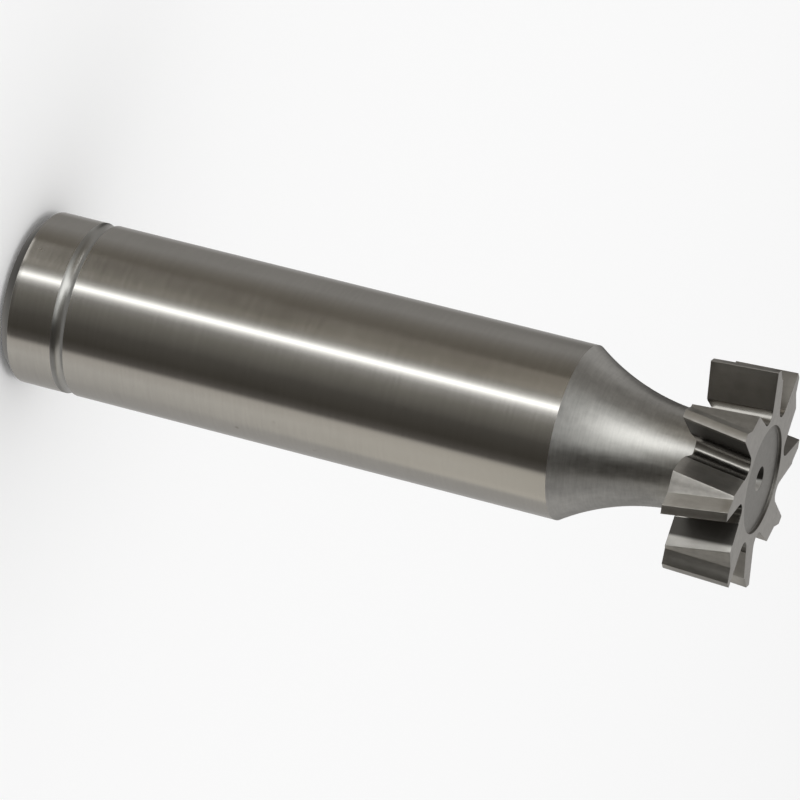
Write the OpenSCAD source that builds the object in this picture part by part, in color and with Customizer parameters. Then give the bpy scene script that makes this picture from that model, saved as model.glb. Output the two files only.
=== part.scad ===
// Woodruff keyseat cutter with a plain ground shank, a waisted neck and a small head of staggered teeth.
// It stands on its shank end: the origin is the centre of that end, and +Z runs along the axis to the head.
// Seen from the head, a rising angle turns counter-clockwise, which is also the way the cutter turns.

/* [Whole tool] */
// Length from the shank end to the front of the head
overall_len = 56.23; // [50:0.01:80]

/* [Shank] */
// Diameter of the ground shank, a half inch
shank_d = 12.7; // [10:0.1:16]
// Length of the ground shank, from its end to the shoulder
shank_len = 42.38; // [36:0.02:46]
// Width of the 45 degree chamfer round the shank end
end_chamfer = 0.88; // [0.2:0.02:1.5]
// Distance of the ring groove from the shank end
groove_z = 4.28; // [3:0.02:10]
// Width of the ring groove
groove_w = 1; // [0.6:0.05:2]
// Depth of the ring groove
groove_depth = 0.16; // [0.05:0.01:0.4]

/* [Neck] */
// Diameter of the neck where it meets the head
neck_d = 7.1; // [5:0.1:8]

/* [Head] */
// Diameter over the cutting edges
cutter_d = 16.28; // [14:0.02:20]
// Width of the face, which is the width of the keyseat
face_w = 4.76; // [3:0.02:6.5]
// Diameter of the recess in the front face
front_recess_d = 7.8; // [5:0.1:9]
// Depth of the recess in the front face
front_recess_depth = 0.25; // [0.1:0.05:0.6]
// Diameter of the floor of the recess round the neck
rear_recess_d = 9.4; // [8.6:0.1:11]
// Depth of the recess round the neck
rear_recess_depth = 0.45; // [0.1:0.05:0.9]
// Slope of the side of that recess, measured from the axis
rear_recess_slope = 45; // [20:5:60]
// Hollow grind of each side, from the rim to the recess
side_hollow = 0.06; // [0.02:0.01:0.15]

/* [Teeth] */
// Number of teeth, an even number because they lean by turns to either side
teeth = 8; // [6:2:10]
// Lean of each cutting edge from the axis
lean = 8; // [3:0.5:12]
// Radius at the bottom of the gash in front of each tooth
root_r = 4.45; // [4:0.05:5]
// Angle between the rake face and the other wall of the gash
gash_angle = 51.5; // [46:0.5:58]
// Radius of the rounded bottom of the gash
gash_fillet = 0.8; // [0.3:0.05:1]
// Width of the first relief facet, next to the edge
primary_w = 0.65; // [0.4:0.05:0.9]
// Clearance angle of the first facet
primary_angle = 7; // [4:0.5:10]
// Width of the second relief facet, which drops steeply
secondary_w = 1.14; // [0.8:0.02:1.4]
// Clearance angle of the second facet
secondary_angle = 59; // [45:0.5:65]
// Clearance angle of the flatter heel facet, which runs on to the gash behind
heel_angle = 25; // [15:1:35]

/* [Centre holes] */
// Diameter of the cone at the front
front_cone_d = 1.8; // [1.2:0.1:3]
// Diameter of the pilot hole at the front
front_pilot_d = 0.9; // [0.5:0.1:1.1]
// Depth of the pilot hole at the front
front_pilot_depth = 2; // [1.5:0.1:4]
// Diameter of the cone at the shank end
rear_cone_d = 3.2; // [2.4:0.1:5]
// Diameter of the pilot hole at the shank end
rear_pilot_d = 1.4; // [0.8:0.1:2]
// Depth of the pilot hole at the shank end
rear_pilot_depth = 3.4; // [2.5:0.1:6]

/* [Hidden] */
$fn = 96;
// Overlap that lets a cutting solid pass clean through a face
through = 1;
// Angle at the tip of a lathe centre, which each cone fits
centre_angle = 60;
shank_r = shank_d / 2;
neck_r = neck_d / 2;
cutter_r = cutter_d / 2;
// Stock left on the blank, which the relief facets take off down to the cutting edges
grind_stock = 0.15;
head_z = overall_len - face_w;
head_mid = overall_len - face_w / 2;
// Floors of the two recesses, between which lies the web of the head
web_z = head_z + side_hollow + rear_recess_depth;
front_floor = overall_len - side_hollow - front_recess_depth;
// The neck is an arc that meets the shoulder and runs out along the axis at the head
neck_run = head_z - shank_len;
neck_drop = shank_r - neck_r;
neck_arc = (neck_run * neck_run + neck_drop * neck_drop) / (2 * neck_drop);
// The floor of the groove is the arc of one round-nosed tool
groove_arc = (groove_w * groove_w / 4 + groove_depth * groove_depth) / (2 * groove_depth);
// A gash and a relief cut both pass the full width of the head at the greatest lean
cut_len = face_w / cos(lean) + 2 * (tan(lean) * cutter_r + through);
tooth_step = 360 / teeth;
// How far the round at the bottom of a gash cuts into both walls, so that it crosses them and isn't tangent
root_bite = 0.004;

// Points up the outside of the shank and neck, with the neck still a full cylinder up to the head
module shank_outline() {
    polygon([
        [0, 0],
        [shank_r - end_chamfer, 0],
        [shank_r, end_chamfer],
        [shank_r, shank_len],
        [shank_r, head_z],
        [neck_r, head_z],
        [neck_r, web_z + through / 2],
        [0, web_z + through / 2]
    ]);
}

// Rounds taken off that outline: the arc of the neck and the ring groove
module turned_cuts() {
    translate([neck_r + neck_arc, head_z]) circle(r = neck_arc, $fn = 360);
    translate([shank_r - groove_depth + groove_arc, groove_z + groove_w / 2])
        circle(r = groove_arc);
}

module shank_and_neck() {
    rotate_extrude() difference() {
        shank_outline();
        turned_cuts();
    }
}

// The turned blank of the head: hollow-ground sides, a recess in front and one round the neck
module head_blank() {
    blank_r = cutter_r + grind_stock;
    front_r = front_recess_d / 2;
    rear_r = rear_recess_d / 2;
    rear_rim_r = rear_r + rear_recess_depth * tan(rear_recess_slope);
    rotate_extrude() polygon([
        [0, web_z],
        [rear_r, web_z],
        [rear_rim_r, web_z - rear_recess_depth],
        [blank_r, head_z],
        [blank_r, overall_len],
        [front_r, overall_len - side_hollow],
        [front_r, front_floor],
        [0, front_floor]
    ]);
}

// Section of one gash: a radial rake face along X, a rounded root and a wall that slopes away to +Y
module gash_section() {
    centre_x = root_r + gash_fillet;
    far_x = cutter_r + 2 * through;
    wall = [cos(gash_angle), sin(gash_angle)];
    touch = [centre_x - gash_fillet * wall[1], gash_fillet + gash_fillet * wall[0]];
    reach = (far_x - touch[0]) / wall[0];
    translate([centre_x, gash_fillet]) circle(r = gash_fillet + root_bite);
    polygon([
        [centre_x, 0],
        [far_x, 0],
        [far_x, touch[1] + reach * wall[1]],
        touch,
        [centre_x, gash_fillet]
    ]);
}

// Section of what the three relief facets take off behind the cutting edge, which lies at [cutter_r, 0]
module relief_section() {
    heel_w = cutter_r * sin(tooth_step) / 2;
    first = [cutter_r - primary_w * sin(primary_angle), -primary_w * cos(primary_angle)];
    second = first - secondary_w * [sin(secondary_angle), cos(secondary_angle)];
    heel = second - heel_w * [sin(heel_angle), cos(heel_angle)];
    out = cutter_r + through;
    polygon([
        [cutter_r, through / 2],
        [cutter_r, 0],
        first,
        second,
        heel,
        [out, heel[1]],
        [out, through / 2]
    ]);
}

// Puts a section at tooth number i and runs it through the head along the lean of that tooth
module along_tooth(i) {
    side = i % 2 == 0 ? 1 : -1;
    translate([0, 0, head_mid]) rotate([0, 0, i * tooth_step]) rotate([side * lean, 0, 0])
        linear_extrude(height = cut_len, center = true) children();
}

// A centre hole that opens down at z = 0 and runs up: a cone for the lathe centre, then a pilot hole
module centre_hole(cone_d, pilot_d, pilot_depth) {
    slope = tan(centre_angle / 2);
    cone_depth = (cone_d - pilot_d) / 2 / slope;
    over = 0.5;
    rotate_extrude() polygon([
        [0, -over],
        [cone_d / 2 + over * slope, -over],
        [pilot_d / 2, cone_depth],
        [pilot_d / 2, pilot_depth],
        [0, pilot_depth + pilot_d / 4]
    ]);
}

module cutter() {
    color("silver") difference() {
        union() {
            shank_and_neck();
            difference() {
                head_blank();
                for (i = [0 : teeth - 1]) {
                    along_tooth(i) gash_section();
                    along_tooth(i) relief_section();
                }
            }
        }
        centre_hole(rear_cone_d, rear_pilot_d, rear_pilot_depth);
        translate([0, 0, front_floor]) mirror([0, 0, 1])
            centre_hole(front_cone_d, front_pilot_d, front_pilot_depth);
    }
}

cutter();
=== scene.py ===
import math

import bpy
import numpy as np
from mathutils import Matrix


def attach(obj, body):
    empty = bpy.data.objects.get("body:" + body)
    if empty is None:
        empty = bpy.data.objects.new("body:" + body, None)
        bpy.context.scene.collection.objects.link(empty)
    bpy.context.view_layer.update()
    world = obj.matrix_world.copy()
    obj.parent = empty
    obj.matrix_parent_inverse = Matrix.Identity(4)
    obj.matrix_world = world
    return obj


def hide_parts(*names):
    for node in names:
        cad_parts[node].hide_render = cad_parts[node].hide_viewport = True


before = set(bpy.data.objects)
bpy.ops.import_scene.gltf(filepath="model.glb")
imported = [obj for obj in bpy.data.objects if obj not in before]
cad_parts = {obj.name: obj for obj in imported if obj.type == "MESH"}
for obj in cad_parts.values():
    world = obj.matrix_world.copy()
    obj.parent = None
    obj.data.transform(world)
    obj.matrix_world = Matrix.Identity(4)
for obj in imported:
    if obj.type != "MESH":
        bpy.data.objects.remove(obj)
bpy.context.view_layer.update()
print("stage: frame loaded")

mm = 0.001


def addObject(name, data):
    thing = bpy.data.objects.new(name, data)
    bpy.context.scene.collection.objects.link(thing)
    return thing


def newMaterial(name):
    material = bpy.data.materials.new(name)
    material.use_nodes = True
    return material, material.node_tree


# Camera: the photograph's view, from the fit of the shank's outline and the head's corners
cameraSetup = {
    "lens": 242.32, "sensor": 36,                            # mm
    "clip": (0.01, 10),                                      # m
    "tilt": 17.643623,                                       # degrees the head leans towards the camera
    "roll": 14.292332,                                       # degrees the axis falls to the right in the picture
    "spin": 207.29,                                          # degrees the teeth are turned about the axis
    "shankEnd": (-26.6110029, -7.66718704, 391.71361991),    # mm right, down and away from the camera
}


def cameraAxes(setup):
    # rows are the part's x, y and z axes, told in the camera's right, down and away directions
    tilt, roll, spin = (math.radians(setup[k]) for k in ("tilt", "roll", "spin"))
    axis = np.array([math.cos(tilt) * math.cos(roll), math.cos(tilt) * math.sin(roll), -math.sin(tilt)])
    across = np.array([-math.sin(roll), math.cos(roll), 0.0])
    third = np.cross(axis, across)
    xAxis = math.cos(spin) * across + math.sin(spin) * third
    yAxis = -math.sin(spin) * across + math.cos(spin) * third
    return np.array([xAxis, yAxis, axis])


partAxes = cameraAxes(cameraSetup)
cameraPlace = -partAxes @ np.array(cameraSetup["shankEnd"]) * mm
cameraData = bpy.data.cameras.new("photoCamera")
cameraData.lens = cameraSetup["lens"]
cameraData.sensor_width = cameraSetup["sensor"]
cameraData.clip_start, cameraData.clip_end = cameraSetup["clip"]
camera = addObject("photoCamera", cameraData)
place = np.eye(4)
place[:3, :3] = partAxes * [1, -1, -1]                       # Blender's camera looks back along -z with y up
place[:3, 3] = cameraPlace
camera.matrix_world = Matrix(place.tolist())
bpy.context.scene.camera = camera
cameraAzimuth = math.atan2(cameraPlace[1], cameraPlace[0])
# +1 where a rising azimuth climbs in the picture, which the bands of the light tent follow
pictureUp = -partAxes[:, 1]
climb = math.cos(cameraAzimuth) * pictureUp[1] - math.sin(cameraAzimuth) * pictureUp[0]
upSense = 1.0 if climb > 0 else -1.0
print("stage: camera set")


# Shapes: one closed surface of rings, from the hole in the shank end to the hole in the head; sizes in mm and degrees
hair = 0.02                                                  # from a crease to the ring that keeps it crisp
coneSlope = math.tan(math.radians(30))                       # of the centre holes, which take 60 degree lathe centres
# Rings of a centre hole: "mouth" holds how far the two rings round it lie outside the cone, "lip" and "onCone" how far
# two rings lie inside its rim and how deep, "belowCone" the depth of one below the cone, and "tip" the radius of the
# last ring, and how far below the pilot that ring and the pole lie
shankForm = {
    "length": 42.38, "radius": 6.35, "chamfer": 0.88, "edgeRound": 0.05,
    "grooveAt": 4.28, "grooveWidth": 1.0, "grooveDepth": 0.16,
    "coneRadius": 1.6, "pilotRadius": 0.7, "pilotDepth": 3.4,
    "mouth": (0.03, 0.4), "lip": (0.02, 0.035), "onCone": (0.4, 0.6928203), "belowCone": 0.4, "tip": (0.3, 0.1, 0.35),
    "stubGap": 0.3, "grooveGap": 0.1,                        # from the chamfer and the groove to the next plain ring
    "endRings": 5, "chamferRings": 3, "edgeRings": 4, "stubRings": 3, "grooveRings": 17, "bodyRings": 9,
}
neckForm = {
    "radius": 3.55, "rings": 44,
    "footRound": 0.05, "footStart": 0.06, "footRings": 4,    # round where it meets the floor of the rear recess
}
headForm = {
    "top": 56.23, "width": 4.76, "radius": 8.14, "teeth": 8, "lean": 8.0, "blankRadius": 8.29,
    "rootRadius": 4.45, "gashAngle": 51.5, "gashRound": 0.8,
    "primaryWidth": 0.65, "primaryAngle": 7.0, "secondaryWidth": 1.14, "secondaryAngle": 59.0,
    "heelAngle": 25.0,
    "sideHollow": 0.06, "frontRecess": 3.9, "frontDepth": 0.25,
    "rearRecess": 4.7, "rearDepth": 0.45,
    "coneRadius": 0.9, "pilotRadius": 0.45, "pilotDepth": 2.0,
    "mouth": (0.015, 0.05), "lip": (0.01, 0.02), "onCone": (0.25, 0.4294229), "belowCone": 0.3,
    "tip": (0.2, 0.08, 0.11),
    # corners of a tooth, in the order heel, end of the second facet, end of the first, cutting edge, root of the gash:
    # the round of the first four and the least reach of a round, points round each corner and from it to the next,
    # and on the round parts the angle of each corner and half the angle that its points take
    "edgeRounds": (0.06, 0.05, 0.05, 0.05), "leastReach": 0.006,
    "arcCounts": (4, 3, 3, 4, 13), "sideCounts": (1, 1, 1, 5, 5),
    "cornerAngles": (-19.0, -14.0, -9.5, -8.0, 6.25), "cornerSpreads": (0.6, 0.4, 0.4, 0.5, 10.75),
    # rings: radii on the rear recess's floor and on the rear side, and the least step between two, turns of the round
    # of the rim, heights on the teeth from the middle, shares of the way from the rim to a gap outside the front
    # recess, rounds at that recess's edge and corner, and radii on its floor
    "floorRing": 4.1, "rearRings": (5.6, 6.2, 6.9, 7.6), "ringStep": 0.002,
    "rimRound": 0.025, "rimTurns": (0, 22.5, 45, 67.5, 90), "levels": (-1.6, -0.8, 0.0, 0.8, 1.6),
    "frontShares": (0.25, 0.5, 0.75, 0.95), "recessGap": 0.04,
    "recessRound": 0.03, "recessRings": 4, "cornerRound": 0.1, "cornerRings": 6, "frontRings": (3.0, 2.2, 1.5),
    "settleSteps": 4,                                        # tries to find where the walls meet a side of the head
}
toothCorners, rootCorner = 5, 4                              # corners of a tooth, and the root's place among them


def blend(first, second, share):
    return first * (1 - share) + second * share


def unit(vectors):
    return vectors / np.linalg.norm(vectors, axis=-1, keepdims=True)


def rightOf(along):
    # unit vectors a quarter turn clockwise of the given ones, which is outwards on a counter-clockwise outline
    return unit(np.stack([along[..., 1], -along[..., 0]], -1))


def crossing(p, q, r, s):
    # where the line through p and q meets the line through r and s
    (a, b), (c, d) = q - p, s - r
    t = ((r[0] - p[0]) * d - (r[1] - p[1]) * c) / (a * d - b * c)
    return p + t * (q - p)


def cutterSection(form, height, tooth):
    # points of one tooth in the plane at that height: cutting edge, end of the first facet, end of the second, a point
    # on the heel facet, root of the gash before it is rounded, a point on its wall; teeth lean to either side by turns,
    # and a plane cut through one stretches its section by 1 / cos(lean) and slides it by height * tan(lean)
    lean = math.radians(form["lean"] if tooth % 2 == 0 else -form["lean"])
    gash = math.radians(form["gashAngle"])
    drops = [math.radians(form[k]) for k in ("primaryAngle", "secondaryAngle", "heelAngle")]
    first, second, heel = (np.array([math.sin(drop), math.cos(drop)]) for drop in drops)
    edge = np.array([form["radius"], 0.0])
    primary = edge - form["primaryWidth"] * first
    secondary = primary - form["secondaryWidth"] * second
    root = np.array([form["rootRadius"] + form["gashRound"] * (1 - 1 / math.tan(gash / 2)), 0.0])
    onWall = root + np.array([math.cos(gash), math.sin(gash)])
    points = np.array([edge, primary, secondary, secondary - heel, root, onWall])
    points = np.column_stack([points[:, 0], points[:, 1] / math.cos(lean) - height * math.tan(lean)])
    turn = 2 * math.pi * tooth / form["teeth"]
    return points @ np.array([[math.cos(turn), math.sin(turn)], [-math.sin(turn), math.cos(turn)]])


def headCorners(form, height):
    # the corners of every tooth, counter-clockwise; the heel is where the last facet meets the wall of the gash behind
    sections = [cutterSection(form, height, tooth) for tooth in range(form["teeth"])]
    corners = []
    for tooth, (edge, primary, secondary, onHeel, root, _) in enumerate(sections):
        heel = crossing(secondary, onHeel, *sections[tooth - 1][-2:])
        corners += [heel, secondary, primary, edge, root]
    return np.array(corners)


def roundedOutline(form, height):
    # each corner becomes an arc that touches both its sides, and each side between two arcs is cut evenly;
    # returns the points and the outward normals in the plane
    corners = headCorners(form, height)
    ahead, behind = (unit(np.roll(corners, places, 0) - corners) for places in (-1, 1))
    inner = np.arccos(np.clip((ahead * behind).sum(1), -1, 1))
    rounds = np.tile([*form["edgeRounds"], form["gashRound"]], form["teeth"])
    reach = np.maximum(rounds / np.tan(inner / 2), form["leastReach"])
    starts, ends = corners + behind * reach[:, None], corners + ahead * reach[:, None]
    points, normals = [], []
    for k, (corner, start, end) in enumerate(zip(corners, starts, ends)):
        kind = k % toothCorners
        u = np.linspace(0, 1, form["arcCounts"][kind])[:, None]
        if kind == rootCorner:                               # a true arc at the root of the gash
            centre = corner + unit(ahead[k] + behind[k]) * rounds[k] / math.sin(inner[k] / 2)
            sweep = math.pi - inner[k]
            arc = np.sin((1 - u) * sweep) * (start - centre) + np.sin(u * sweep) * (end - centre)
            points.append(centre + arc / math.sin(sweep))
            normals.append(-unit(arc))
        else:                                                # a small parabola for an edge
            points.append((1 - u) ** 2 * start + 2 * u * (1 - u) * corner + u ** 2 * end)
            normals.append(rightOf(blend(corner - start, end - corner, u)))
        v = np.linspace(0, 1, form["sideCounts"][kind] + 2)[1:-1, None]
        following = starts[(k + 1) % len(corners)]
        points.append(blend(end, following, v))
        normals.append(np.tile(rightOf(following - end), (len(v), 1)))
    return np.vstack(points), np.vstack(normals)


def columnAngles(form):
    # where each column of the outline meets the round parts: it fans out from the set angles of every tooth's corners
    keys, spreads = form["cornerAngles"], form["cornerSpreads"]
    step = 360 / form["teeth"]
    angles = []
    for tooth in range(form["teeth"]):
        for k in range(toothCorners):
            here = keys[k] + tooth * step
            following = (keys[0] + step if k == rootCorner else keys[k + 1]) + tooth * step
            low, high = here + spreads[k], following - spreads[(k + 1) % toothCorners]
            angles += list(np.linspace(here - spreads[k], low, form["arcCounts"][k]))
            angles += list(np.linspace(low, high, form["sideCounts"][k] + 2)[1:-1])
    return np.radians(angles)


def ring(radius, height, angles):
    return np.column_stack([radius * np.cos(angles), radius * np.sin(angles), np.broadcast_to(height, angles.shape)])


def arcProfile(centre, radius, start, end, count):
    # points of an arc in the plane of radius and height, from one angle to another, in degrees
    turn = np.radians(np.linspace(start, end, count))
    return np.column_stack([centre[0] + radius * np.cos(turn), centre[1] + radius * np.sin(turn)])


def holeProfile(form):
    # radius and depth of the rings of a centre hole, from the rim of its cone to the tip of its pilot
    cone, pilot, depth = form["coneRadius"], form["pilotRadius"], form["pilotDepth"]
    coneDepth = (cone - pilot) / coneSlope
    inside = [(cone - step, down) for step, down in (form["lip"], form["onCone"])]
    tipRadius, tipDown, _ = form["tip"]
    return [*inside, (pilot, coneDepth), (pilot, coneDepth + form["belowCone"]), (pilot, depth),
            (tipRadius, depth + tipDown)]


def shankProfile(form, neck, head):
    # radius and height of each ring up to the rear recess of the head, with the name of the surface that starts there
    radius, edge, mouth = form["radius"], form["edgeRound"], form["mouth"]
    low, high = form["grooveAt"], form["grooveAt"] + form["grooveWidth"]
    flat = radius - form["chamfer"]
    arc = (form["grooveWidth"] ** 2 / 4 + form["grooveDepth"] ** 2) / (2 * form["grooveDepth"])
    half = math.degrees(math.asin(form["grooveWidth"] / 2 / arc))
    neckEnd = head["top"] - head["width"]
    run, drop = neckEnd - form["length"], radius - neck["radius"]
    bend = (run ** 2 + drop ** 2) / (2 * drop)
    shoulder = math.degrees(math.asin(run / bend))
    floor, foot = neckEnd + head["sideHollow"] + head["rearDepth"], neck["footRound"]

    def plain(start, end, count):
        return [(radius, height) for height in np.linspace(start, end, count)]

    parts = [
        ("hole", holeProfile(form)[::-1]),
        ("end", [(form["coneRadius"] + mouth[0], 0.0)]),
        ("end", [(x, 0.0) for x in np.linspace(form["coneRadius"] + mouth[1], flat - edge, form["endRings"])]),
        ("chamfer", arcProfile((flat - hair, edge), edge, -90, -45, form["chamferRings"])),
        ("shank", arcProfile((radius - edge, form["chamfer"] + hair), edge, -45, 0, form["edgeRings"])),
        ("shank", plain(form["chamfer"] + form["stubGap"], low - form["grooveGap"], form["stubRings"])),
        ("groove", [(radius, low - hair)]),
        ("groove", arcProfile((radius - form["grooveDepth"] + arc, (low + high) / 2), arc,
                              180 + half, 180 - half, form["grooveRings"])),
        ("shank", [(radius, high + hair)]),
        ("shank", plain(high + form["grooveGap"], form["length"] - edge, form["bodyRings"])),
        ("neck", arcProfile((neck["radius"] + bend, neckEnd), bend, 180 + shoulder, 180, neck["rings"])),
        ("neck", [(neck["radius"], floor - neck["footStart"])]),
        ("recess", arcProfile((neck["radius"] + foot, floor - foot), foot, 180, 90, neck["footRings"])),
    ]
    return [(x, height, kind) for kind, points in parts for x, height in points]


def cutterSurface(shank, neck, head):
    # a grid of rings: plain circles up to the neck, then the outline of the teeth from the rear side of the head
    # to its front, then circles again down the centre hole; returns the rings, their surfaces and the two poles
    angles = columnAngles(head)
    uniform = angles[0] + np.arange(len(angles)) * 2 * math.pi / len(angles)
    low, high, half = head["top"] - head["width"], head["top"], head["width"] / 2
    hollow, blank, edge = head["sideHollow"], head["blankRadius"], head["rimRound"]
    rearRecess, frontRecess = head["rearRecess"], head["frontRecess"]
    rearRim = rearRecess + head["rearDepth"]                 # the side of that recess slopes by 45 degrees
    webFloor, frontTop = low + hollow + head["rearDepth"], high - hollow
    frontFloor = frontTop - head["frontDepth"]
    (rearPoints, rearNormals), (frontPoints, frontNormals) = (roundedOutline(head, level) for level in (-half, half))
    rings, kinds = [], []

    def add(points, kind):
        rings.append(points)
        kinds.append(kind)

    def wallAt(height):
        # every facet of the teeth is straight from the rear side of the head to its front
        share = ((height - low) / (high - low))[:, None]
        return blend(rearPoints, frontPoints, share), unit(blend(rearNormals, frontNormals, share))

    def rearHeight(radius):
        side = low + hollow * (blank - radius) / (blank - rearRim)
        return np.where(radius > rearRim, side, np.minimum(webFloor, low + hollow + rearRim - radius))

    def frontHeight(radius):
        return high - hollow * (blank - radius) / (blank - frontRecess)

    def rimOf(heightOf, start):
        # outline and normals where the walls meet a side of the head, whose height depends on the radius there
        height = np.full(len(angles), start)
        for _ in range(head["settleSteps"]):
            height = heightOf(np.linalg.norm(wallAt(height)[0], axis=1))
        return wallAt(height)

    def insetOf(outline, normals):
        # radius and angle of the outline drawn in by the round of the rim
        inset = outline - normals * edge
        turn = np.unwrap(np.arctan2(inset[:, 1], inset[:, 0]))
        turn += 2 * math.pi * np.round((angles[0] - turn[0]) / (2 * math.pi))
        return np.linalg.norm(inset, axis=1), turn

    def addRim(outline, normals, heightOf, turns, sense):
        # a quarter round between a side of the head and the walls; sense is +1 where the walls lie above the side
        for turn in np.radians(turns):
            xy = outline - normals * edge * (1 - math.sin(turn))
            height = heightOf(np.linalg.norm(xy, axis=1)) + sense * edge * (1 - math.cos(turn))
            add(np.column_stack([xy, height]), "wall" if turn > 0 else "side")

    for radius, height, kind in shankProfile(shank, neck, head):
        share = np.clip((height - shank["length"]) / (low - shank["length"]), 0, 1)
        add(ring(radius, height, blend(uniform, angles, share * share * (3 - 2 * share))), kind)

    rear, front = rimOf(rearHeight, low), rimOf(frontHeight, high)
    insetRadius, insetAngle = insetOf(*rear)
    inner = neck["radius"] + neck["footStart"]
    targets = [head["floorRing"], rearRecess - hair, rearRecess + hair, rearRim - hair, rearRim + hair,
               *head["rearRings"]]
    for k, target in enumerate(targets):
        radius = np.minimum(target, insetRadius - (len(targets) - k) * head["ringStep"])
        turn = blend(angles, insetAngle, (radius - inner) / (insetRadius - inner))
        add(ring(radius, rearHeight(radius), turn), "recess" if target < rearRim else "side")
    addRim(*rear, rearHeight, head["rimTurns"], 1)
    for level in head["levels"]:
        height = np.full(len(angles), (low + high) / 2 + level)
        add(np.column_stack([wallAt(height)[0], height]), "wall")
    addRim(*front, frontHeight, head["rimTurns"][::-1], -1)
    insetRadius, insetAngle = insetOf(*front)
    for share in head["frontShares"]:
        radius = blend(insetRadius, frontRecess + head["recessGap"], share)
        add(ring(radius, frontHeight(radius), blend(insetAngle, angles, share)), "side")

    lip, corner = head["recessRound"], head["cornerRound"]
    for radius, height in (
            *arcProfile((frontRecess + lip, frontTop - lip), lip, 90, 180, head["recessRings"]),
            (frontRecess, frontFloor + corner + hair),
            *arcProfile((frontRecess - corner, frontFloor + corner), corner, 0, -90, head["cornerRings"])):
        inCorner = frontFloor + hair < height < frontTop - hair / 2
        add(ring(radius, height, angles), "corner" if inCorner else "front")
    for radius in (*head["frontRings"], *(head["coneRadius"] + gap for gap in head["mouth"][::-1])):
        add(ring(radius, frontFloor, angles), "front")
    for radius, depth in holeProfile(head):
        add(ring(radius, frontFloor - depth, angles), "hole")
    poles = np.array([[0, 0, shank["pilotDepth"] + shank["tip"][2]],
                      [0, 0, frontFloor - head["pilotDepth"] - head["tip"][2]]])
    return np.array(rings), kinds, poles


def gridMesh(name, rings, poles):
    # quads between each ring and the next, closed round, with a fan of triangles at both ends
    rows, count = rings.shape[:2]
    points = np.vstack([rings.reshape(-1, 3), poles]) * mm
    column = np.arange(count)
    after = (column + 1) % count
    start, last = np.arange(rows - 1)[:, None] * count, (rows - 1) * count
    quads = np.stack([start + column, start + after, start + count + after, start + count + column], -1)
    bottom = np.column_stack([np.full(count, rows * count), after, column])
    top = np.column_stack([last + column, last + after, np.full(count, rows * count + 1)])
    mesh = bpy.data.meshes.new(name)
    mesh.from_pydata(points.tolist(), [], quads.reshape(-1, 4).tolist() + bottom.tolist() + top.tolist())
    mesh.update()
    return addObject(name, mesh)


rings, ringKinds, poles = cutterSurface(shankForm, neckForm, headForm)
cutter = gridMesh("cutterBody", rings, poles)
print("stage: cutter surface,", len(cutter.data.polygons), "faces")


# Finishes: helpers, and node groups that several steels share
def plug(tree, value, socket):
    # a socket is linked, and a plain value is set
    if isinstance(value, bpy.types.NodeSocket):
        tree.links.new(value, socket)
    else:
        socket.default_value = value


def newGroup(name, inputs, outputs):
    # inputs and outputs are (name, kind) rows
    group = bpy.data.node_groups.new(name, "ShaderNodeTree")
    for way, rows in (("INPUT", inputs), ("OUTPUT", outputs)):
        for label, kind in rows:
            group.interface.new_socket(label, in_out=way, socket_type="NodeSocket" + kind)
    return group, group.nodes.new("NodeGroupInput"), group.nodes.new("NodeGroupOutput")


def addNode(tree, kind, **settings):
    # a setting is the value of the input of that name, or else a property of the node
    node = tree.nodes.new("ShaderNode" + kind)
    for key, value in settings.items():
        if key in node.inputs:
            plug(tree, value, node.inputs[key])
        else:
            setattr(node, key, value)
    return node


def mathNode(tree, operation, *values, clamp=False):
    # one step of arithmetic on sockets or plain numbers
    node = addNode(tree, "Math", operation=operation, use_clamp=clamp)
    for value, socket in zip(values, node.inputs):
        plug(tree, value, socket)
    return node.outputs[0]


def mixColours(tree, factor, first, second):
    node = addNode(tree, "Mix", data_type="RGBA")
    for slot, value in ((0, factor), (6, first), (7, second)):   # the Mix node's factor and its two colours
        plug(tree, value, node.inputs[slot])
    return node.outputs[2]


def mapRange(tree, value, source, target, **settings):
    # runs evenly from one end of the target to the other while the value runs through the source
    node = addNode(tree, "MapRange", **settings)
    for label, numbers in (("From", source), ("To", target)):
        for end, number in zip((" Min", " Max"), numbers):
            node.inputs[label + end].default_value = number
    plug(tree, value, node.inputs["Value"])
    return node.outputs[0]


def joinXYZ(tree, *values):
    node = addNode(tree, "CombineXYZ")
    for value, socket in zip(values, node.inputs):
        plug(tree, value, socket)
    return node.outputs[0]


patternSetup = {
    "turnScale": 10.0,                                       # lathe units for one radian about the axis
    "lines": {"Scale": 1.0, "Detail": 4.0, "Roughness": 0.62}, "blotch": {"Detail": 3.0, "Roughness": 0.55},
    "shares": (0.5, 0.5),                                    # of the lines and of the blotches in the shade
    "speckLimit": 0.72,                                      # a cell has a speck if its random number is higher
}


def makeTurning(setup):
    # lathe coordinates in mm: the turn about the axis times 10, the radius and the height
    group, into, out = newGroup("latheCoordinates", [("Vector", "Vector")], [("Vector", "Vector"), ("Radius", "Float")])
    scaled = addNode(group, "VectorMath", operation="SCALE", Vector=into.outputs[0], Scale=1 / mm)
    x, y, z = addNode(group, "SeparateXYZ", Vector=scaled.outputs[0]).outputs
    squares = (mathNode(group, "MULTIPLY", side, side) for side in (x, y))
    radius = mathNode(group, "SQRT", mathNode(group, "ADD", *squares))
    turn = mathNode(group, "MULTIPLY", mathNode(group, "ARCTAN2", y, x), setup["turnScale"])
    plug(group, joinXYZ(group, turn, radius, z), out.inputs[0])
    plug(group, radius, out.inputs[1])
    return group


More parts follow.
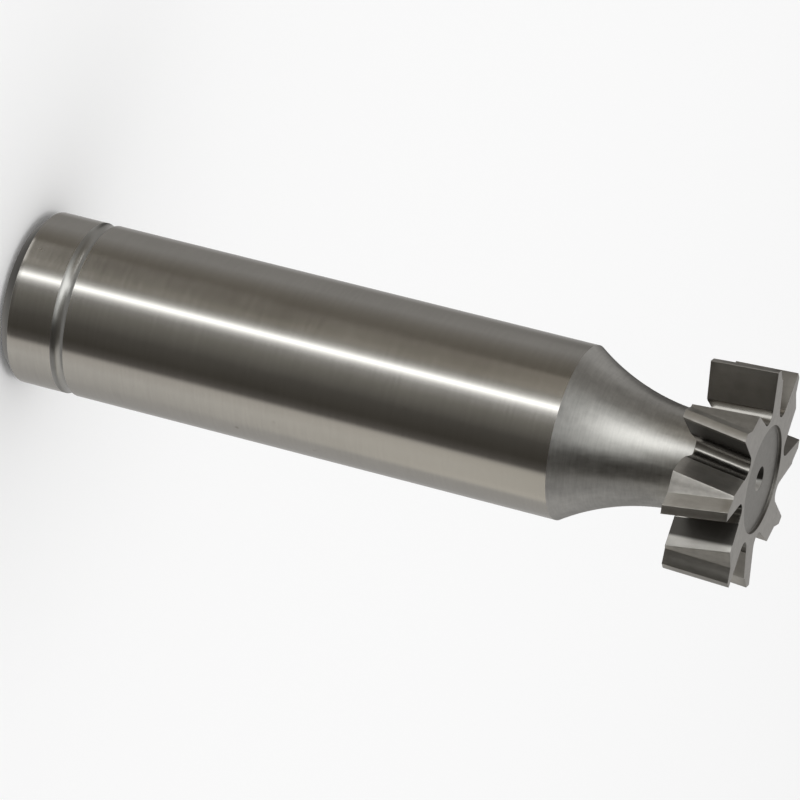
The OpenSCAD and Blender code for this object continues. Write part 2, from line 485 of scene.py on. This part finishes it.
def makeScratches(setup):
    # the height is a noise stretched along the cut; the shade is the even mix of that noise and of slow blotches
    group, into, out = newGroup(
        "grindingLines", [("Vector", "Vector"), ("Along", "Float"), ("Across", "Float"), ("Blotch", "Float")],
        [("Height", "Float"), ("Shade", "Float")])
    parts = addNode(group, "SeparateXYZ", Vector=into.outputs["Vector"]).outputs
    stretched = joinXYZ(group, *(mathNode(group, "MULTIPLY", part, into.outputs[scale])
                                 for part, scale in zip(parts, ("Along", "Across", "Across"))))
    lines = addNode(group, "TexNoise", Vector=stretched, **setup["lines"])
    blotch = addNode(group, "TexNoise", Vector=into.outputs["Vector"], Scale=into.outputs["Blotch"], **setup["blotch"])
    plug(group, lines.outputs[0], out.inputs["Height"])
    halves = (mathNode(group, "MULTIPLY", node.outputs[0], share)
              for node, share in zip((lines, blotch), setup["shares"]))
    plug(group, mathNode(group, "ADD", *halves), out.inputs["Shade"])
    return group


def makeSpecks(setup):
    # 1 - distance / size round the middle of each cell, kept in the cells whose first random number is above the
    # limit, times their second one
    group, into, out = newGroup("specks", [("Vector", "Vector"), ("Scale", "Float"), ("Size", "Float")],
                                [("Mask", "Float")])
    cells = addNode(group, "TexVoronoi", Vector=into.outputs["Vector"], Scale=into.outputs["Scale"])
    pick = addNode(group, "SeparateColor", Color=cells.outputs["Color"])
    away = mathNode(group, "DIVIDE", cells.outputs["Distance"], into.outputs["Size"])
    core = mathNode(group, "SUBTRACT", 1.0, away, clamp=True)
    chosen = mathNode(group, "GREATER_THAN", pick.outputs[0], setup["speckLimit"])
    strength = mathNode(group, "MULTIPLY", chosen, pick.outputs[1])
    plug(group, mathNode(group, "MULTIPLY", core, strength), out.inputs["Mask"])
    return group


latheCoordinates, grindingLines, specks = (make(patternSetup) for make in (makeTurning, makeScratches, makeSpecks))

# Each finish: colour, how much its shade varies, roughness and its variation, spread of the gloss across the lines,
# coordinates, lines (along and across per mm, depth in mm), blotches per mm, specks (per mm, size, darkening),
# painted shade in the gashes (full at one radius in mm, gone at another, darkening), and a painted highlight on one
# side of the holes (its azimuth, from and to in mm off the axis, brightness)
endFinish = dict(rough=0.32, roughVary=0.08, spread=0.4, turned=True, along=0.3, across=5.0, depth=0.002, blotch=0.8,
                 speckScale=0.6, speckSize=0.1, speckDark=0.4)
recessFinish = dict(roughVary=0.08, spread=0.0, turned=True, along=0.6, across=4.0, depth=0.003, blotch=1.2,
                    speckScale=0.8, speckSize=0.12, speckDark=0.3)
toothFinish = dict(roughVary=0.05, spread=0.0, turned=False, along=0.5, across=2.2, depth=0.0008, blotch=1.2,
                   speckScale=1.1, speckSize=0.14, speckDark=0.25)
rakeFinish = dict(toothFinish, colour=(0.265, 0.254, 0.238), vary=0.09)
# the root is darker than the wall: painted shade at the bottom of the gashes
rootFinish = dict(toothFinish, colour=(0.36, 0.35, 0.335), vary=0.12, rough=0.20, roughVary=0.06, along=0.6,
                  across=3.0, blotch=1.6, speckDark=0.3)
heelFinish = dict(toothFinish, vary=0.16, rough=0.42, roughVary=0.06, along=0.6, across=2.6, depth=0.0015,
                  blotch=1.6, speckDark=0.2)
steelFinishes = {
    "shankGround": dict(colour=(0.56, 0.55, 0.53), vary=0.05, rough=0.17, roughVary=0.05, spread=0.72, turned=True,
                        along=0.25, across=7.0, depth=0.0006, blotch=0.25,
                        speckScale=0.55, speckSize=0.13, speckDark=0.75),
    "shankEndTurned": dict(endFinish, colour=(0.50, 0.49, 0.47), vary=0.08),
    "chamferTurned": dict(endFinish, colour=(0.20, 0.195, 0.187), vary=0.10),
    "grooveTurned": dict(colour=(0.54, 0.54, 0.53), vary=0.06, rough=0.3, roughVary=0.06, spread=0.4, turned=True,
                         along=0.3, across=8.0, depth=0.001, blotch=0.7,
                         speckScale=0.6, speckSize=0.1, speckDark=0.3),
    "neckTurned": dict(colour=(0.60, 0.595, 0.58), vary=0.13, rough=0.34, roughVary=0.10, spread=0.3, turned=True,
                       along=0.45, across=6.0, depth=0.004, blotch=0.9,
                       speckScale=0.9, speckSize=0.12, speckDark=0.35),
    "sideGround": dict(colour=(0.555, 0.545, 0.53), vary=0.13, rough=0.34, roughVary=0.08, spread=0.0, turned=True,
                       along=0.5, across=5.0, depth=0.002, blotch=1.4,
                       speckScale=0.9, speckSize=0.12, speckDark=0.3),
    "recessTurned": dict(recessFinish, colour=(0.41, 0.405, 0.395), vary=0.13, rough=0.40),
    "reliefGround": dict(toothFinish, colour=(0.54, 0.53, 0.51), vary=0.10, rough=0.33, blotch=1.3),
    "heelGround": dict(heelFinish, colour=(0.73, 0.715, 0.695)),
    "rakeGround": dict(rakeFinish, rough=0.43),
    "gashRoot": rootFinish,
    # painted shade in the gashes, set by the radius: on every tooth's wall, and deeper on a single tooth's root, wall
    # and rake
    "rootShaded": dict(rootFinish, paintedShade=(5.05, 4.62, 0.85)),
    "gashWall": dict(toothFinish, colour=(0.62, 0.605, 0.58), vary=0.10, rough=0.45, paintedShade=(4.7, 5.3, 0.4)),
    "gashWallShaded": dict(toothFinish, colour=(0.56, 0.55, 0.53), vary=0.10, rough=0.38, paintedShade=(6.3, 6.55, 0.87)),
    "rakeShaded": dict(rakeFinish, rough=0.40, paintedShade=(7.5, 8.1, 0.78)),
    # a darker copy of the heel's colour, used on two teeth
    "heelDarker": dict(heelFinish, colour=(0.54, 0.53, 0.51)),
    # painted shade in the corner of the front recess
    "recessCornerShade": dict(recessFinish, colour=(0.25, 0.24, 0.225), vary=0.12, rough=0.42),
    # near black: painted shade inside the centre holes, with a painted highlight on one side
    "holeShadeAndHighlight": dict(colour=(0.05, 0.047, 0.043), vary=0.15, rough=0.45, roughVary=0.1, spread=0.0, turned=True,
                        along=0.6, across=5.0, depth=0.003, blotch=1.5,
                        speckScale=1.0, speckSize=0.15, speckDark=0.3, paintedHighlight=(165, 0.15, 0.3, 0.72)),
}
steelSetup = {
    "mottle": (0.3, 0.7),                                    # the part of the shade's range that is used
    "variation": (-1.5, 1.0),                                # its darkest and lightest, in parts of the variation
    "stain": (0.42, 0.38, 0.33), "stainRough": 0.2,          # what a speck leaves of the colour, and roughness it adds
    # colour of the painted shade in the gashes
    "paintedShade": (0.03, 0.027, 0.024, 1.0),
    "paintedHighlight": (1.0, 0.985, 0.96),                            # tint of the painted highlight
    "toothTurn": (0.0, math.pi / 2, 0.0),                    # the teeth are cut along the axis
    "glossTurn": 0.25,                                       # the gloss runs along the axis, across the lines
}


def makeSteel(name, f, setup):
    # metal: colour * (1 + variation * shade), mixed with a stain by the specks, with painted shade by the radius and
    # with a painted highlight by the distance to one side; roughness is its base plus shade plus specks, the lines'
    # height is a bump, and on turned metal the gloss spreads along the axis
    material, tree = newMaterial(name)
    shader = tree.nodes["Principled BSDF"]
    shader.inputs["Metallic"].default_value = 1.0
    place = addNode(tree, "TexCoord").outputs["Object"]
    lathe = addNode(tree, "Group", node_tree=latheCoordinates, Vector=place)
    scaled = addNode(tree, "VectorMath", operation="SCALE", Vector=place, Scale=1 / mm).outputs[0]
    if f["turned"]:
        vector = lathe.outputs["Vector"]
    else:
        vector = addNode(tree, "Mapping", Vector=scaled, Rotation=setup["toothTurn"]).outputs[0]
    lines = addNode(tree, "Group", node_tree=grindingLines, Vector=vector,
                    Along=f["along"], Across=f["across"], Blotch=f["blotch"]).outputs
    spots = addNode(tree, "Group", node_tree=specks, Vector=scaled,
                    Scale=f["speckScale"], Size=f["speckSize"]).outputs[0]

    shade = mapRange(tree, lines["Shade"], setup["mottle"], (0.0, 1.0))
    dark, light = (tuple(c * (1 + s * f["vary"]) for c in f["colour"]) + (1.0,) for s in setup["variation"])
    colour = mixColours(tree, shade, dark, light)
    stain = tuple(c * w for c, w in zip(f["colour"], setup["stain"])) + (1.0,)
    colour = mixColours(tree, mathNode(tree, "MULTIPLY", spots, f["speckDark"]), colour, stain)
    # painted shade: the colour darkens between two radii in the gashes
    if "paintedShade" in f:
        full, gone, darkening = f["paintedShade"]
        paintedShade = mapRange(tree, lathe.outputs["Radius"], (full, gone), (darkening, 0.0),
                         interpolation_type="SMOOTHSTEP")
        colour = mixColours(tree, paintedShade, colour, setup["paintedShade"])
    # painted highlight: lighter towards one side of the hole
    if "paintedHighlight" in f:
        azimuth, low, high, bright = f["paintedHighlight"]
        aside = addNode(tree, "VectorMath", operation="DOT_PRODUCT")
        plug(tree, scaled, aside.inputs[0])
        aside.inputs[1].default_value = (math.cos(math.radians(azimuth)), math.sin(math.radians(azimuth)), 0.0)
        highlightMask = mapRange(tree, aside.outputs["Value"], (low, high), (0.0, 1.0))
        colour = mixColours(tree, highlightMask, colour, tuple(bright * c for c in setup["paintedHighlight"]) + (1.0,))
    plug(tree, colour, shader.inputs["Base Color"])

    swing = f["roughVary"] / 2
    rough = mapRange(tree, lines["Shade"], setup["mottle"], (f["rough"] - swing, f["rough"] + swing))
    spotted = mathNode(tree, "MULTIPLY", spots, setup["stainRough"])
    plug(tree, mathNode(tree, "ADD", rough, spotted), shader.inputs["Roughness"])
    bump = addNode(tree, "Bump", Height=lines["Height"], Distance=f["depth"] * mm)
    plug(tree, bump.outputs[0], shader.inputs["Normal"])
    if f["spread"]:
        shader.inputs["Anisotropic"].default_value = f["spread"]
        shader.inputs["Anisotropic Rotation"].default_value = setup["glossTurn"]
        around = addNode(tree, "Tangent", direction_type="RADIAL", axis="Z")
        plug(tree, around.outputs[0], shader.inputs["Tangent"])
    return material


steels = {name: makeSteel(name, f, steelSetup) for name, f in steelFinishes.items()}
paintSetup = {
    # the finish of each surface, and of a tooth's facets from its heel on
    "surfaces": {
        "hole": "holeShadeAndHighlight", "end": "shankEndTurned", "chamfer": "chamferTurned", "shank": "shankGround",
        "groove": "grooveTurned", "neck": "neckTurned", "recess": "recessTurned", "side": "sideGround",
        "front": "recessTurned", "corner": "recessCornerShade",
    },
    "facets": ("heelGround", "reliefGround", "rakeGround", "gashRoot", "gashWall"),
    # facets that stand out on a single tooth, with painted shade in its gash or a darker heel: the tooth, the usual
    # finish and the one it has
    "oddFacets": [(1, "rakeGround", "rakeShaded"), (1, "gashRoot", "rootShaded"), (1, "heelGround", "heelDarker"),
                  (2, "gashWall", "gashWallShaded"), (3, "heelGround", "heelDarker")],
    "sharpAngle": 31, "faceWeight": 90,                      # degrees, and how much large faces rule the normals
}


def paintSurface(piece, kinds, form, setup):
    # one material number for each face: by ring, and on the sides of the head by the facet that its column is on
    number = {name: k for k, name in enumerate(steelFinishes)}
    for steel in steels.values():
        piece.data.materials.append(steel)
    arcs = form["arcCounts"]
    starts = np.cumsum([0, *np.add(arcs, form["sideCounts"])])  # first column of each corner, and of the next tooth
    # heel and relief run to the middle of a corner's round, the rake to the start of the root, the root to its end
    ends = (starts[1] + arcs[1] // 2, starts[3] + arcs[3] // 2, starts[4], starts[4] + arcs[4])
    column = np.arange(form["teeth"] * starts[-1])
    tooth, within = column // starts[-1], column % starts[-1]
    usual = [number[name] for name in setup["facets"]]
    facet = np.select([within < end for end in ends], usual[:-1], usual[-1])
    for odd, before, after in setup["oddFacets"]:
        facet = np.where((tooth == odd) & (facet == number[before]), number[after], facet)
    plain = {kind: np.full(len(column), number[name]) for kind, name in setup["surfaces"].items()}
    rows = [facet if kind == "wall" else plain[kind] for kind in kinds[:-1]]
    faces = np.concatenate([*rows, plain["hole"], plain["hole"]]).astype(np.int32)  # the two fans come last
    piece.data.polygons.foreach_set("material_index", faces)
    piece.data.polygons.foreach_set("use_smooth", np.ones(len(faces), bool))
    piece.data.set_sharp_from_angle(angle=math.radians(setup["sharpAngle"]))
    weighted = piece.modifiers.new("flatFacets", "WEIGHTED_NORMAL")
    weighted.keep_sharp = True
    weighted.weight = setup["faceWeight"]


paintSurface(cutter, ringKinds, headForm, paintSetup)
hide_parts("cutter")
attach(cutter, "root")
print("stage: finishes made")


# Stage: a pale floor, a soft lamp, and a closed light tent that only the gloss of the steel sees
tentSetup = {
    "radius": 500, "low": -600, "high": 1300, "step": 10,    # mm
    "columns": 720,
    # azimuth from the camera's side in degrees, rising towards the top of the picture, and the light there
    "bands": [
        (-180, 0.50, 0.49, 0.48), (-150, 0.41, 0.40, 0.385), (-120, 0.46, 0.445, 0.42), (-85, 0.62, 0.60, 0.56),
        (-67, 0.54, 0.51, 0.47), (-61, 0.12, 0.11, 0.10), (-48, 0.066, 0.06, 0.05), (-25, 0.10, 0.093, 0.082),
        (0, 0.235, 0.225, 0.20), (10, 0.34, 0.33, 0.31), (15.5, 0.72, 0.71, 0.69), (19.5, 1.5, 1.5, 1.45),
        (22, 2.6, 2.6, 2.55), (24.5, 2.6, 2.6, 2.55), (27, 1.4, 1.4, 1.35), (30.5, 0.68, 0.67, 0.64),
        (36, 0.35, 0.335, 0.30), (42, 0.255, 0.235, 0.20), (50, 0.17, 0.155, 0.127), (62, 0.145, 0.13, 0.106),
        (75, 0.17, 0.154, 0.128), (90, 0.22, 0.204, 0.18), (110, 0.32, 0.31, 0.295), (145, 0.275, 0.265, 0.25),
        (165, 0.44, 0.43, 0.42), (180, 0.50, 0.49, 0.48),
    ],
    # cards hung in front of the cloth: azimuth from, to and soft edge in degrees, height from, to and soft edge in mm,
    # and the light of the card
    "cards": [
        (-60, 75, 16, 240, 1500, 90, (0.36, 0.36, 0.35)),        # above, for the shoulder
        (60, 150, 16, 60, 1500, 60, (0.21, 0.20, 0.185)),        # upper side of the neck
        (-22, 54, 22, 90, 420, 90, (0.80, 0.80, 0.77)),          # broad glow on the neck
        (4, 34, 12, -20, 330, 50, (1.7, 1.7, 1.65)),             # its middle
        (-75, -24, 10, -60, 1500, 40, (0.04, 0.037, 0.032)),     # dark strip under the glow
        (-112, -66, 8, -135, -60, 20, (0.72, 0.68, 0.60)),       # brighter towards the shoulder
        (-185, -78, 8, -60, 1500, 30, (0.275, 0.27, 0.26)),      # under side of the neck
        (-102, -60, 6, -66, -6, 15, (0.06, 0.06, 0.052)),        # for the heel of the lowest tooth
        (112, 256, 12, 70, 1500, 50, (0.43, 0.42, 0.405)),       # for the front of the head
        (128, 174, 8, -85, 30, 15, (0.05, 0.047, 0.043)),        # for the second facet of the upper tooth
        (40, 66, 5, -95, -45, 15, (0.56, 0.51, 0.44)),           # for the lands on top
        (40, 78, 6, -340, -240, 15, (1.25, 1.22, 1.16)),         # for the second facets
        (72, 104, 6, -50, 10, 15, (0.10, 0.095, 0.085)),         # for the heel of the upper tooth
        (-20, 40, 8, -300, -236, 15, (0.06, 0.056, 0.05)),       # dark under the highlight, for the gashes
        (-360, 360, 10, -900, -470, 50, (0.26, 0.255, 0.245)),   # below, for the chamfer and the wall of the groove
        (-178, -138, 14, -900, -470, 50, (0.65, 0.635, 0.61)),   # for the lower part of the chamfer
    ],
}
floorSetup = {"radius": 470, "corners": 128, "colour": (0.97, 0.97, 0.97, 1.0), "rough": 0.9}  # radius in mm
lampSetup = {"size": 0.8, "height": 0.8, "power": 2.6}       # m, and W
roomLight = 0.68                                             # of the world, for all but the rays named below


def softStep(value, low, high, soft):
    # 1 from low to high, falling evenly to 0 over a soft edge that straddles either end
    return np.clip((value - low) / soft + 0.5, 0, 1) * np.clip((high - value) / soft + 0.5, 0, 1)


def tentLight(setup, around, height):
    # the light of the cloth is a chain of straight steps over the azimuth, and each card covers it by its mask
    bands = np.array(setup["bands"])
    glow = np.stack([np.interp(around, bands[:, 0], bands[:, c]) for c in (1, 2, 3)], -1)
    for left, right, turnSoft, bottom, top, heightSoft, light in setup["cards"]:
        turned = (around - left + turnSoft) % 360 + left - turnSoft
        mask = softStep(turned, left, right, turnSoft) if right - left < 360 else np.ones_like(around)
        mask = (mask * softStep(height, bottom, top, heightSoft))[..., None]
        glow = blend(glow, np.array(light), mask)
    return glow


def makeTent(setup):
    # a closed upright drum: rings of one radius, with a pole in the middle of its bottom and of its lid;
    # the light is stored on its vertices and shines as it is
    turn = np.linspace(0, 2 * math.pi, setup["columns"], endpoint=False)
    levels = np.arange(setup["low"], setup["high"] + setup["step"], setup["step"])
    poles = np.array([[0.0, 0.0, setup["low"]], [0.0, 0.0, setup["high"]]])
    tent = gridMesh("lightTent", np.array([ring(setup["radius"], level, turn) for level in levels]), poles)
    around = (np.degrees((turn - cameraAzimuth) * upSense) + 180) % 360 - 180
    glow = tentLight(setup, *np.meshgrid(around, levels)).reshape(-1, 3)
    glow = np.vstack([glow, glow[:len(turn)].mean(0), glow[-len(turn):].mean(0)])
    layer = tent.data.attributes.new("glow", "FLOAT_COLOR", "POINT")
    layer.data.foreach_set("color", np.column_stack([glow, np.ones(len(glow))]).astype(np.float32).ravel())
    material, tree = newMaterial("tentCloth")
    tree.nodes.remove(tree.nodes["Principled BSDF"])
    source = addNode(tree, "Attribute", attribute_name="glow")
    shine = addNode(tree, "Emission", Color=source.outputs["Color"])
    plug(tree, shine.outputs[0], tree.nodes["Material Output"].inputs["Surface"])
    tent.data.materials.append(material)
    tent.visible_camera = False
    tent.visible_diffuse = False
    tent.visible_shadow = False


def makeFloor(setup):
    # a round sheet of pale card; the steel sees the tent through it, as if it stood clear of the card
    count = setup["corners"]
    points = ring(setup["radius"], 0.0, np.linspace(0, 2 * math.pi, count, endpoint=False)) * mm
    mesh = bpy.data.meshes.new("floorCard")
    mesh.from_pydata(points.tolist(), [], [list(range(count))])
    floor = addObject("floorCard", mesh)
    material, tree = newMaterial("paleCard")
    shader = tree.nodes["Principled BSDF"]
    shader.inputs["Base Color"].default_value = setup["colour"]
    shader.inputs["Roughness"].default_value = setup["rough"]
    shader.inputs["Specular IOR Level"].default_value = 0.0
    mesh.materials.append(material)
    floor.visible_glossy = False
    floor.visible_shadow = False


def makeLamp(setup):
    # a square lamp straight above, which neither the camera nor the gloss sees
    data = bpy.data.lights.new("topLight", "AREA")
    data.shape = "SQUARE"
    data.size = setup["size"]
    data.energy = setup["power"]
    lamp = addObject("topLight", data)
    lamp.location = (0, 0, setup["height"])
    lamp.visible_camera = False
    lamp.visible_glossy = False


def makeWorld(light):
    # white: at full strength for camera, glossy and transmission rays, and dimmed to the room's light for all others
    world = bpy.data.worlds.new("paleRoom")
    world.use_nodes = True
    tree = world.node_tree
    backing = tree.nodes["Background"]
    backing.inputs["Color"].default_value = (1.0, 1.0, 1.0, 1.0)
    paths = addNode(tree, "LightPath").outputs
    seen = mathNode(tree, "MAXIMUM", paths["Is Camera Ray"], paths["Is Glossy Ray"])
    seen = mathNode(tree, "MAXIMUM", seen, paths["Is Transmission Ray"])
    dimmed = mathNode(tree, "MULTIPLY", mathNode(tree, "SUBTRACT", 1.0, seen), 1.0 - light)
    plug(tree, mathNode(tree, "SUBTRACT", 1.0, dimmed), backing.inputs["Strength"])
    bpy.context.scene.world = world


makeTent(tentSetup)
makeFloor(floorSetup)
makeLamp(lampSetup)
makeWorld(roomLight)
bpy.context.scene.view_settings.view_transform = "Standard"
print("stage: light and floor set")
